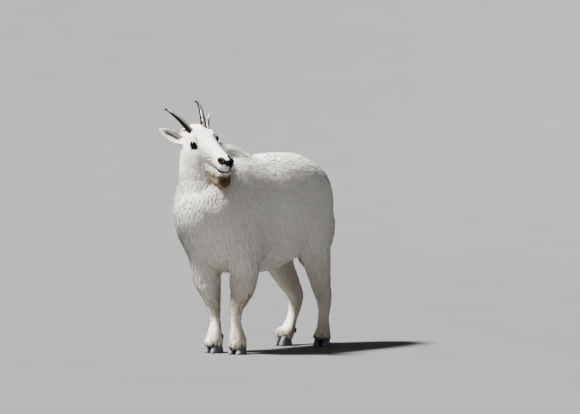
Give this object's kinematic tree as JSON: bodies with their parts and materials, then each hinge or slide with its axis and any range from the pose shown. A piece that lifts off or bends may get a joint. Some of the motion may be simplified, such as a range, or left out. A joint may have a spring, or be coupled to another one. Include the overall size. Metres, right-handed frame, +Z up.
{
  "type": "mountain goat",
  "caption": "Still life-size mountain goat nanny in short summer coat, standing square on four feet with her head turned to her left.",
  "frame": {"origin": "on the ground, under the middle of the goat's outline", "axes": "+Z up, -Y the way her body faces, +X her left side"},
  "size_m": [0.3897, 1.0218, 1.0772],
  "materials": {
    "coat": "short woolly off-white coat",
    "horn": "black horn with a soft sheen",
    "eye": "wet dark eye",
    "hoof": "worn dark grey hoof"
  },
  "bodies": {
    "root": {"head": "coat", "neck": "coat", "trunk": "coat", "tail": "coat", "ear_left": "coat", "ear_right": "coat", "foreleg_left": "coat", "foreleg_right": "coat", "hindleg_left": "coat", "hindleg_right": "coat", "horn_left": "horn", "horn_right": "horn", "eye_left": "eye", "eye_right": "eye", "hoof_fore_left_outer": "hoof", "hoof_fore_left_inner": "hoof", "hoof_fore_right_outer": "hoof", "hoof_fore_right_inner": "hoof", "hoof_hind_left_outer": "hoof", "hoof_hind_left_inner": "hoof", "hoof_hind_right_outer": "hoof", "hoof_hind_right_inner": "hoof", "dewclaw_fore_left_outer": "hoof", "dewclaw_fore_left_inner": "hoof", "dewclaw_fore_right_outer": "hoof", "dewclaw_fore_right_inner": "hoof", "dewclaw_hind_left_outer": "hoof", "dewclaw_hind_left_inner": "hoof", "dewclaw_hind_right_outer": "hoof", "dewclaw_hind_right_inner": "hoof"}
  },
  "joints": []
}
